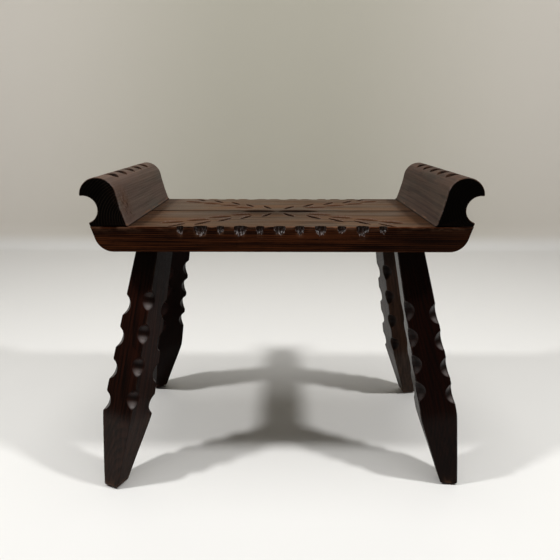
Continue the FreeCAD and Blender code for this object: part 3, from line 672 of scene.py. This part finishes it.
def rest_tones(sizes, rest, outline, outward, y, z, inset, gouge):
    """Fields of a rest: dirty gouges and foot, a worn line above the foot painted lighter as a highlight,
    open faces rubbed and paler with painted sheen, and rough edges.

    A scuff on the inner face is broken up by slanting strokes.
    """
    inner = outward[:, 0] < -0.5
    inner_foot = outline[:, 0] < INNER_FOOT
    rise = (outline[:, 1] - REST_LOW[2]) / sizes.foot_bevel
    # A worn line on the foot's bevel, painted lighter as a highlight where the bevel catches light
    foot_highlight = smooth_step(0.85, 1.2, rise) * (1 - smooth_step(1.7, 2.4, rise)) * inner_foot
    foot_dirt = 0.9 * (1 - smooth_step(0.5, 0.9, rise)) * inner_foot
    rolled = 0.22 * smooth_step(REST_LOW[2] + 30 * MM, REST_HIGH[2], outline[:, 1])
    ends = smooth_step(0.2, 1, inset / sizes.end_round)
    from_end = REST_HIGH[1] - np.abs(y)
    rough_edge = np.exp(-from_end / (1.8 * MM)) * (1 - ends)
    open_face = smooth_step(-0.3, 0.5, outward[:, 1] - outward[:, 0])

    scuff_up = (z - REST_LOW[2] - sizes.scuff_up) / sizes.scuff_height
    scuff = rest.scuff * inner * bump((y + sizes.scuff_front) / sizes.scuff_width, scuff_up)
    slant = 880 * y + 400 * z + 2.2 * np.sin(230 * z + 3) + 1.6 * np.sin(370 * y)
    strokes = smooth_step(0.2, 0.8, np.sin(slant)) * smooth_step(-0.4, 0.3, np.sin(290 * y - 460 * z))
    wear = np.clip(foot_highlight + rolled + 0.4 * scuff + 0.3 * np.exp(-from_end / (2.2 * MM)), 0, 1)
    gouge_dirt = 0.95 * np.clip(gouge / (0.5 * MM), 0, 1)
    return {
        "cut": scuff,
        "dirt": strongest(gouge_dirt, 0.8 * scuff * strokes, foot_dirt),
        "wear": wear * (1 - ends),
        "end": ends,
        "torn": 0.3 * scuff * (1 - strokes) + 0.45 * rough_edge * inner,
        "gloss": rest.gloss * inner * (1 - ends),
        # The inner face and the roll's top are faded, and paler with painted sheen, more on the left rest
        "fade": rest.fade * open_face * (1 - ends) + rest.end_fade * ends,
    }


def leg_frame(sizes, leg):
    """The top of a leg's axis, its length and direction down, and the two directions across its section."""
    top = np.array([leg.side_x * (SEAT_HIGH[0] - sizes.end_inset),
                    leg.side_y * (-SEAT_LOW[1] - sizes.side_inset), SEAT_LOW[2]])
    axis = FEET[f"foot_{leg.name}"] - top
    reach = np.linalg.norm(axis)
    down = axis / reach
    twist = math.radians(leg.twist)
    level = np.array([math.cos(twist), math.sin(twist), 0])
    level[2] = -np.dot(level, down) / down[2]
    first = level / np.linalg.norm(level)
    return top, reach, down, first, np.cross(first, down)


def leg_stations(sizes, leg, reach):
    """Drops along a leg's axis, and the drops of its notches, with one row for each edge.

    The drops lie close together at the notches and at the foot's bevel.
    """
    half = math.sqrt(sizes.notch_radius ** 2 - (sizes.notch_radius - sizes.notch_depth) ** 2)
    order = np.arange(LEG_NOTCHES)
    notches = (leg.first_notch + leg.notch_pitch * order + np.array(leg.shifts)[:, None]) * MM
    start = notches.min() - half - 2 * MM
    stop = max(notches.max() + half, sizes.knee_drop) + 6 * MM
    drops = merge([
        np.linspace(0, start, 18),
        np.linspace(start, stop, round((stop - start) / (0.65 * MM))),
        np.linspace(stop, reach - 8 * MM, 30),
        reach - np.array([7, 6, 5, 4.2, 3.6, 3.0, 2.2, 1.4, 0.6, 0]) * MM,
    ])
    keep = np.concatenate([[True], np.diff(drops) > 0.12 * MM])
    return drops[keep], notches


def edge_cuts(sizes, leg, s, notches):
    """How deep each edge of a leg is cut at every drop: the arris, and the gouge's round in each notch."""
    depths = []
    for edge, middles in enumerate(notches):
        depth = np.full_like(s, sizes.arris / 2)
        for middle in middles:
            hollow = np.sqrt(np.maximum(sizes.notch_radius ** 2 - (s - middle) ** 2, 0))
            depth = soft_max(depth, sizes.notch_depth - sizes.notch_radius + hollow, 0.8 * MM)
        depths.append(depth * (1 + 0.06 * math.sin(2.7 * edge + leg.twist)))
    return depths


def leg_quarter(sizes, leg, quarter, s, half, depths, notches):
    """One face of a leg and the cut corner after it.

    Gives the points' places in the section's two directions, how near they lie to the corner's middle, the
    face's turn, the corner's cut, the drop below its nearest notch in notch depths, and the painted shade in
    its notches.
    """
    face = np.sin(np.linspace(-1, 1, 22) * math.pi / 2)
    chord = dense_ends(0, 1, 12)[1:-1]
    before, after = (np.minimum(math.sqrt(2) * depths[edge], 0.6 * half) for edge in (quarter - 1, quarter))
    start = -half + before
    stop = half - after
    run = start + (stop - start) * (face + 1) / 2
    out = half - SHAVED * ripple(s, run, 3.3 * quarter + leg.twist)
    run = np.concatenate([run, stop + after * chord], axis=1)
    out = np.concatenate([out, half - after * chord], axis=1)
    turn = quarter * math.pi / 2
    corner = np.concatenate([np.zeros(len(face)), np.sin(chord * math.pi)])
    nearest = notches[quarter][np.abs(s - notches[quarter]).argmin(axis=1)][:, None]
    return np.broadcast_arrays(out * math.cos(turn) - run * math.sin(turn),
                               out * math.sin(turn) + run * math.cos(turn), corner, turn, depths[quarter],
                               (s - nearest) / sizes.notch_depth, leg.grime[quarter])


def leg_surface(sizes, leg):
    """One leg: a square section carried down its axis, whose corners are cut back by the notches.

    The half width swells to the knee and tapers to the foot. A corner is cut square to its diagonal, deep in
    a notch and as a thin arris between notches. Rows near the seat and the floor shear until they lie level.
    """
    top, reach, down, first, second = leg_frame(sizes, leg)
    drops, notches = leg_stations(sizes, leg, reach)
    s = drops[:, None]
    depths = edge_cuts(sizes, leg, s, notches)
    swell = (sizes.knee_width - sizes.top_width) / sizes.knee_drop
    taper = (sizes.knee_width - sizes.foot_width) / (reach - sizes.knee_drop)
    above_knee = sizes.top_width + swell * s
    below_knee = sizes.knee_width - taper * (s - sizes.knee_drop)
    width = -soft_max(-above_knee, -below_knee, sizes.knee_round)
    bevel = soft_max(sizes.foot_bevel - (reach - s), 0, 0.5 * MM) - 0.03 * MM
    half = width / 2 - np.maximum(bevel, 0)
    quarters = [leg_quarter(sizes, leg, quarter, s, half, depths, notches) for quarter in range(4)]
    across, along, corner, turn, depth, below, grime = (
        np.concatenate(part, axis=1) for part in zip(*quarters))

    tilt = (across * first[2] + along * second[2]) / -down[2]
    last = max(sizes.knee_drop, notches.max() + 12 * MM) + 8 * MM
    level = 1 - smooth_step(0, notches.min() - 16 * MM, s) + smooth_step(last, reach - 5 * MM, s)
    drop = s + tilt * level
    points = top + drop[..., None] * down + across[..., None] * first + along[..., None] * second
    points[..., 2] = np.clip(points[..., 2], 0, SEAT_LOW[2])
    points[-1, :, 2] = 0
    points[0, :, 2] = SEAT_LOW[2]

    facing = np.cos(turn) * first[0] + np.sin(turn) * second[0]
    fields = leg_tones(sizes, leg, s, reach, facing, corner, depth, below, grime)
    pith = ((21 + 4 * leg.side_x) * MM, -34 * leg.side_y * MM)
    fields["grain"] = np.stack([across - pith[0], along - pith[1],
                                drop + 0.6 * leg.side_x + 1.7 * leg.side_y], axis=-1)
    return points, fields


def leg_tones(sizes, leg, s, reach, facing, corner, depth, below, grime):
    """Fields of a leg: pale lips painted as highlights and hollows darkened as painted shade in the notches,
    a top darkened as painted shade under the seat, and a polished inner face.

    A leg that stands in shade is painted darker all over. Below the knee the wood is paler with painted sheen
    and its shine is spread over all four faces. Edges and foot are worn.
    """
    notched = corner * smooth_step(sizes.arris, 3 * sizes.arris, depth)
    # Painted highlight: the pale lower lip of each notch, where light from above falls
    lip = smooth_step(0.25, 1.0, below) * (1 - grime)
    # Painted shade in the upper hollow of each notch, and over whole notches that stand in shade
    hollow = np.maximum(bump((below + 0.1) / 0.45), grime)
    lower = smooth_step(sizes.knee_drop - 14 * MM, sizes.knee_drop + 14 * MM, s)
    # Painted shade: darkest at the top of the leg under the seat, and over the whole of a leg in shade
    shaded = np.maximum(0.93 * (1 - smooth_step(15 * MM, 85 * MM, s)), leg.stain)
    inner_face = smooth_step(0.3, 0.8, -leg.side_x * facing)
    polish = 0.02 + leg.sheen * inner_face * (1 - 0.85 * lower) + 0.15 * (1 - leg.stain) * lower
    bright = min(1.6 * leg.sheen, 0.32)
    notch_polish = (0.1 + bright) * (1 - 0.85 * hollow)
    near_foot = np.exp(-(reach - s) / (5 * MM))
    return {
        "dirt": np.maximum((0.75 + 0.22 * grime) * notched * hollow, shaded * (1 - 0.7 * notched)),
        "wear": np.clip(0.15 * (corner - notched) + 1.2 * near_foot, 0, 1),
        "torn": bright * notched * lip,
        "gloss": polish + (notch_polish - polish) * notched,
        # Paler below the knee as painted sheen, and paler all over on a leg given painted light
        "fade": leg.fade + 0.08 * (1 - leg.stain) * lower,
    }


class Finish:
    """Adds shader nodes to a material or world, one short call for each."""

    def __init__(self, data):
        data.use_nodes = True
        self.data = data
        self.tree = data.node_tree
        self.tree.nodes.clear()

    def add(self, kind, inputs=(), **settings):
        """A node with these settings. Inputs pairs a socket's name or number with a value or a socket."""
        node = self.tree.nodes.new(kind)
        for key, value in settings.items():
            setattr(node, key, value)
        for key, value in inputs:
            if isinstance(value, bpy.types.NodeSocket):
                self.tree.links.new(value, node.inputs[key])
            else:
                node.inputs[key].default_value = value
        return node

    def field(self, name, output="Fac"):
        """A value kept on the points of the mesh."""
        return self.add("ShaderNodeAttribute", attribute_name=name).outputs[output]

    def place(self):
        """A point's place in the object."""
        return self.add("ShaderNodeTexCoord").outputs["Object"]

    def math(self, operation, *values):
        """The result of an operation on these values."""
        return self.add("ShaderNodeMath", enumerate(values), operation=operation).outputs[0]

    def vary(self, value, noise, amount):
        """The value moved up and down by an amount of the noise about its middle."""
        return self.math("MULTIPLY_ADD", self.math("SUBTRACT", noise, 0.5), amount, value)

    def stretch(self, vector, *factors):
        """A vector whose three parts are multiplied by these factors."""
        return self.add("ShaderNodeVectorMath", ((0, vector), (1, factors)), operation="MULTIPLY").outputs[0]

    def noise(self, vector, across, along, detail=2.0, roughness=0.5):
        """Noise with this many cells to a metre across the grain and along it, the vector's third part."""
        vector = self.stretch(vector, across, across, along)
        inputs = (("Vector", vector), ("Scale", 1.0), ("Detail", detail), ("Roughness", roughness))
        return self.add("ShaderNodeTexNoise", inputs).outputs[0]

    def rise(self, value, low, high, floor=0.0, roof=1.0):
        """A smooth rise from floor to roof as the value goes from low to high."""
        inputs = ((0, value), (1, low), (2, high), (3, floor), (4, roof))
        return self.add("ShaderNodeMapRange", inputs, interpolation_type="SMOOTHSTEP").outputs[0]

    def mix(self, share, first, second):
        """A colour that goes from the first to the second with the share."""
        return self.add("ShaderNodeMix", ((0, share), (6, first), (7, second)), data_type="RGBA").outputs[2]

    def end(self, *inputs):
        """Ends a material in a shader with these inputs."""
        shader = self.add("ShaderNodeBsdfPrincipled", inputs)
        self.add("ShaderNodeOutputMaterial", (("Surface", shader.outputs[0]),))


def opaque(tone, strength=1):
    """A colour property as four numbers, made this many times as bright."""
    return (*(part * strength for part in tone), 1.0)


def make_wood(wood, tones):
    """Stained wood: growth rings round the pith, fibres and pores along the grain, cuts, worn edges and end
    grain, and the painted shade, sheen, highlights and glints that its fields lay on.

    The grain field holds each point's place across and along the fibres, measured from the pith. Rings are
    steps of the distance from the pith, made wavy by slow noise, and each darkens towards its late wood.
    """
    finish = Finish(bpy.data.materials.new(f"{wood.name}_wood_finish"))
    grain = finish.field("grain", "Vector")
    drift = finish.noise(grain, 10, 2.4, 3)
    waver = finish.noise(grain, 70, 9)
    streak = finish.rise(finish.noise(grain, 280, 6, 4, 0.6), 0.36, 0.64)
    fibre = finish.noise(grain, 900, 18, 3, 0.65)
    pore = finish.rise(finish.noise(grain, 1700, 60, 1), 0.60, 0.72)
    stain = finish.noise(grain, 24, 7, 3)
    band = finish.noise(grain, 95, 5)
    rub = finish.noise(grain, 130, 40, 4, 0.65)
    splinter = finish.noise(grain, 190, 800, 3, 0.6)
    fade, end, cut, torn = (finish.field(name) for name in ("fade", "end", "cut", "torn"))

    radius = finish.add("ShaderNodeVectorMath", ((0, finish.stretch(grain, 1, 1, 0)),), operation="LENGTH")
    shift = finish.math("MULTIPLY_ADD", drift, 14 * MM, finish.math("MULTIPLY", waver, 1.5 * MM))
    rings = finish.math("DIVIDE", finish.math("ADD", radius.outputs["Value"], shift), wood.ring)
    phase = finish.math("FRACT", rings)
    late = finish.math("MULTIPLY", finish.rise(phase, 0.25, 0.88), finish.rise(phase, 0.93, 1.0, 1.0, 0.0))
    depth = finish.math("MULTIPLY_ADD", late, 0.40, finish.math("MULTIPLY", streak, 0.55))
    for noise, amount in ((fibre, 0.7), (stain, 0.9), (band, 0.7)):
        depth = finish.vary(depth, noise, amount)
    depth = finish.math("MULTIPLY_ADD", pore, 0.3, depth)
    shade = finish.rise(depth, 0.42 - wood.softness / 2, 0.42 + wood.softness / 2)

    light, dark = (opaque(getattr(tones, f"{wood.name}_{tone}")) for tone in ("light", "dark"))
    pale_light, pale_dark, pale_warm, pale_cool = (
        opaque(getattr(tones, f"{wood.faded}_{tone}")) for tone in ("light", "dark", "warm", "cool"))
    pale = finish.mix(shade, pale_light, pale_dark)
    pale = finish.mix(finish.rise(stain, 0.46, 0.66, 0.0, 0.55), pale, pale_warm)
    pale = finish.mix(finish.rise(stain, 0.52, 0.36, 0.0, 0.55), pale, pale_cool)
    # Faded wood, which also paints sheen and light on the seat's top, the rests and the legs
    body = finish.mix(fade, finish.mix(shade, light, dark), pale)

    ring_line = finish.math("MULTIPLY", finish.rise(late, 0.6, 1.0), finish.rise(stain, 0.35, 0.6, 0.25, 1.0))
    ring_line = finish.math("MULTIPLY", ring_line, finish.rise(fade, 0.0, 1.0, 1.0, 0.15))
    body = finish.mix(end, body, finish.mix(ring_line, opaque(tones.end_grain), opaque(tones.end_grain, 10)))
    laid_open = finish.math("MULTIPLY", cut, finish.rise(fibre, 0.2, 0.7, 0.9, 0.5))
    body = finish.mix(laid_open, body, opaque(tones.cut_fresh))
    # Dirt, and painted shade in the notches and on the legs, darken the wood
    body = finish.mix(finish.field("dirt"), body, opaque(tones.dirt_and_shade_tone))
    # Rubbed edges, and the highlight painted along the rests' feet
    worn = finish.math("MULTIPLY", finish.field("wear"), finish.rise(rub, 0.42, 0.66))
    body = finish.mix(finish.math("MULTIPLY", worn, 0.75), body, opaque(tones.worn))
    # Pale ripped fibres, and the glints painted with them
    ragged = finish.math("MULTIPLY", torn, finish.rise(splinter, wood.tearing, wood.tearing + 0.16))
    body = finish.mix(ragged, body, opaque(tones.torn))

    roughness = finish.vary(finish.vary(wood.roughness, fibre, 0.22), stain, 0.16)
    roughness = finish.math("MULTIPLY_ADD", end, 0.16, roughness)
    relief = finish.math("MULTIPLY_ADD", late, 0.35, finish.math("MULTIPLY", fibre, 0.6))
    relief = finish.math("MULTIPLY_ADD", pore, -0.7, relief)
    relief = finish.math("MULTIPLY_ADD", finish.math("MULTIPLY", cut, rub), 2.0, relief)
    relief = finish.math("MULTIPLY_ADD", finish.math("MULTIPLY", torn, splinter), 6.0, relief)
    normal = finish.add("ShaderNodeBump", (("Strength", 0.5), ("Distance", 0.16 * MM), ("Height", relief)))
    finish.end(("Base Color", body), ("Roughness", roughness), ("IOR", 1.5),
               ("Specular IOR Level", wood.gleam), ("Coat Weight", finish.field("gloss")),
               ("Coat Roughness", 0.22), ("Coat IOR", 1.5),
               ("Coat Normal", normal.outputs[0]), ("Normal", normal.outputs[0]))


def make_dowel_wood(tone):
    """Bare beech: short flecks and faint streaks on object coordinates."""
    finish = Finish(bpy.data.materials.new("dowel_wood_finish"))
    place = finish.place()
    fleck = finish.rise(finish.noise(place, 900, 300), 0.55, 0.75)
    streak = finish.noise(place, 160, 30, 3)
    body = finish.mix(finish.math("MULTIPLY", fleck, 0.5), opaque(tone), opaque(tone, 0.6))
    body = finish.mix(finish.math("MULTIPLY", streak, 0.5), body, opaque(tone, 0.8))
    finish.end(("Base Color", body), ("Roughness", finish.math("MULTIPLY_ADD", fleck, 0.1, 0.6)))


def make_stage_paint(sizes):
    """Matt paint: a pale floor that turns into the backdrop's tone up the wall, which is lighter to the sides
    as painted light.
    """
    finish = Finish(bpy.data.materials.new("stage_paint"))
    parts = finish.add("ShaderNodeSeparateXYZ", (("Vector", finish.place()),)).outputs
    aside = finish.rise(finish.math("ABSOLUTE", parts["X"]), 0.1, 1.3)
    wall = finish.mix(aside, opaque(sizes.wall_tone), opaque(sizes.lit_side_tone))
    tone = finish.mix(finish.rise(parts["Z"], 0.0, 0.06), opaque(sizes.floor_tone), wall)
    finish.end(("Base Color", tone), ("Roughness", 0.65), ("Specular IOR Level", 0.13))
    return finish.data


class STOOL_OT_finishes(bpy.types.Operator):
    """Make the wood finishes that the pieces take"""
    bl_idname = "stool.make_finishes"
    bl_label = "Wood finishes"

    def execute(self, context):
        tones = context.scene.stool_colours
        for wood in WOODS:
            make_wood(wood, tones)
        make_dowel_wood(tones.dowel)
        return {"FINISHED"}


class STOOL_OT_seat(bpy.types.Operator):
    """Build the two carved seat planks"""
    bl_idname = "stool.make_seat"
    bl_label = "Seat planks"

    def execute(self, context):
        for plank in PLANKS:
            points, fields = plank_surface(context.scene.stool_seat, plank)
            make_piece(f"carved_plank_{plank.name}", points, fields, f"seat_plank_{plank.name}", "seat_wood")
        return {"FINISHED"}


class STOOL_OT_rests(bpy.types.Operator):
    """Build the two rolled end rests"""
    bl_idname = "stool.make_rests"
    bl_label = "End rests"

    def execute(self, context):
        for rest in RESTS:
            points, fields = rest_surface(context.scene.stool_rests, context.scene.stool_seat.end_slope, rest)
            make_piece(f"rolled_rest_{rest.name}", points, fields, f"end_rest_{rest.name}", "rest_wood")
        return {"FINISHED"}


class STOOL_OT_legs(bpy.types.Operator):
    """Build the four notched legs"""
    bl_idname = "stool.make_legs"
    bl_label = "Legs"

    def execute(self, context):
        for leg in LEGS:
            points, fields = leg_surface(context.scene.stool_legs, leg)
            make_piece(f"notched_leg_{leg.name}", points, fields, f"leg_{leg.name}", "leg_wood")
        return {"FINISHED"}


class STOOL_OT_dowels(bpy.types.Operator):
    """Give the hidden dowels their bare wood"""
    bl_idname = "stool.finish_dowels"
    bl_label = "Dowels"

    def execute(self, context):
        for name in ("seat_joint_dowels", "end_rest_dowels_left", "end_rest_dowels_right"):
            mesh = frame["nodes"][name].data
            mesh.materials.clear()
            mesh.materials.append(bpy.data.materials["dowel_wood_finish"])
        return {"FINISHED"}


class STOOL_OT_stage(bpy.types.Operator):
    """Set the floor and backdrop, the lamps and the camera"""
    bl_idname = "stool.make_stage"
    bl_label = "Stage"

    def execute(self, context):
        sizes = context.scene.stool_stage
        make_floor(sizes)
        make_lamps(sizes)
        make_surround(context.scene, sizes.surround_tone)
        make_camera(context.scene)
        context.scene.view_settings.view_transform = "Standard"
        return {"FINISHED"}


def make_floor(sizes):
    """Floor and backdrop in one sheet, carried along X.

    Its line runs back along the floor, turns up a round and climbs the wall.
    """
    bend = (sizes.wall_back - sizes.wall_bend, sizes.wall_bend)
    turn = arc(bend, sizes.wall_bend, -math.pi / 2, 0, 12)
    line = np.concatenate([[[-sizes.floor_front, 0]], turn, [[sizes.wall_back, sizes.wall_height]]])
    x = np.array([-sizes.floor_width, sizes.floor_width]) / 2
    points = np.stack([np.repeat(x, len(line)), np.tile(line[:, 0], 2), np.tile(line[:, 1], 2)], axis=1)
    place = np.arange(len(line) - 1)
    quads = np.stack([place, place + len(line), place + len(line) + 1, place + 1], axis=1)
    mesh = bpy.data.meshes.new("stage_floor")
    mesh.from_pydata(points.tolist(), [], quads.tolist())
    mesh.polygons.foreach_set("use_smooth", np.ones(len(quads), dtype=bool))
    mesh.materials.append(make_stage_paint(sizes))
    floor = bpy.data.objects.new("stage_floor", mesh)
    bpy.context.scene.collection.objects.link(floor)


def add_lamp(data, place, power):
    """Hang a lamp at a place. An area lamp looks straight down."""
    data.energy = power
    lamp = bpy.data.objects.new(data.name, data)
    lamp.location = place
    bpy.context.scene.collection.objects.link(lamp)


def make_lamps(sizes):
    """Two soft lamps to the sides and a broad panel overhead."""
    for name, side in (("lamp_left", -1), ("lamp_right", 1)):
        bulb = bpy.data.lights.new(name, "POINT")
        bulb.shadow_soft_size = sizes.lamp_size
        add_lamp(bulb, (side * sizes.lamp_side, -sizes.lamp_front, sizes.lamp_height), sizes.lamp_power)
    panel = bpy.data.lights.new("lamp_overhead", "AREA")
    panel.size = sizes.panel_size
    add_lamp(panel, (0, -sizes.panel_front, sizes.panel_height), sizes.panel_power)


def make_surround(scene, tone):
    """A dim surround for light, which the eye and reflections see as pale as the backdrop."""
    finish = Finish(bpy.data.worlds.new("surround"))
    path = finish.add("ShaderNodeLightPath").outputs
    seen = finish.math("MAXIMUM", path["Is Camera Ray"], path["Is Glossy Ray"])
    seen = finish.math("MAXIMUM", seen, path["Is Transmission Ray"])
    dim = finish.add("ShaderNodeBackground", (("Color", (1, 0.98, 0.95, 1)), ("Strength", 0.05)))
    pale = finish.add("ShaderNodeBackground", (("Color", opaque(tone)), ("Strength", 1.0)))
    mixed = finish.add("ShaderNodeMixShader", ((0, seen), (1, dim.outputs[0]), (2, pale.outputs[0])))
    finish.add("ShaderNodeOutputWorld", (("Surface", mixed.outputs[0]),))
    scene.world = finish.data


def make_camera(scene):
    """The photograph's viewpoint: its place, dip and turn, and its focal length in pixels of its frame."""
    frame_width = 560
    focal_length = 531.7
    dip = 16.62
    turn = 0.458
    data = bpy.data.cameras.new("view")
    data.sensor_width = 36
    data.lens = data.sensor_width * focal_length / frame_width
    view = bpy.data.objects.new("view", data)
    view.location = (0.0035, -0.7806, 0.4905)
    view.rotation_euler = (math.radians(90 - dip), 0, math.radians(turn))
    scene.collection.objects.link(view)
    scene.camera = view


class STOOL_PT_panel(bpy.types.Panel):
    """The stool's pieces and sizes"""
    bl_idname = "STOOL_PT_panel"
    bl_label = "Carved Stool"
    bl_space_type = "VIEW_3D"
    bl_region_type = "UI"
    bl_category = "Stool"

    def draw(self, context):
        for operator in OPERATORS:
            self.layout.operator(operator.bl_idname)
        for name in GROUPS:
            group = getattr(context.scene, name)
            box = self.layout.box()
            for key in group.bl_rna.properties.keys():
                if key not in ("rna_type", "name"):
                    box.prop(group, key)


GROUPS = {
    "stool_seat": SeatSizes,
    "stool_rests": RestSizes,
    "stool_legs": LegSizes,
    "stool_colours": WoodColours,
    "stool_stage": StageSizes,
}
OPERATORS = (STOOL_OT_finishes, STOOL_OT_seat, STOOL_OT_rests, STOOL_OT_legs, STOOL_OT_dowels, STOOL_OT_stage)


def register():
    """Registers the groups, the operators and the panel, and gives every scene the groups."""
    for group in GROUPS.values():
        bpy.utils.register_class(group)
    for operator in OPERATORS:
        bpy.utils.register_class(operator)
    bpy.utils.register_class(STOOL_PT_panel)
    for name, group in GROUPS.items():
        setattr(bpy.types.Scene, name, PointerProperty(type=group))


def unregister():
    """Takes the groups from the scenes and undoes the rest in reverse."""
    for name in GROUPS:
        delattr(bpy.types.Scene, name)
    bpy.utils.unregister_class(STOOL_PT_panel)
    for operator in reversed(OPERATORS):
        bpy.utils.unregister_class(operator)
    for group in reversed(GROUPS.values()):
        bpy.utils.unregister_class(group)


def main():
    """Builds the whole scene in order."""
    register()
    bpy.ops.stool.make_finishes()
    bpy.ops.stool.make_seat()
    bpy.ops.stool.make_rests()
    bpy.ops.stool.make_legs()
    bpy.ops.stool.finish_dowels()
    bpy.ops.stool.make_stage()


if __name__ == "__main__":
    main()
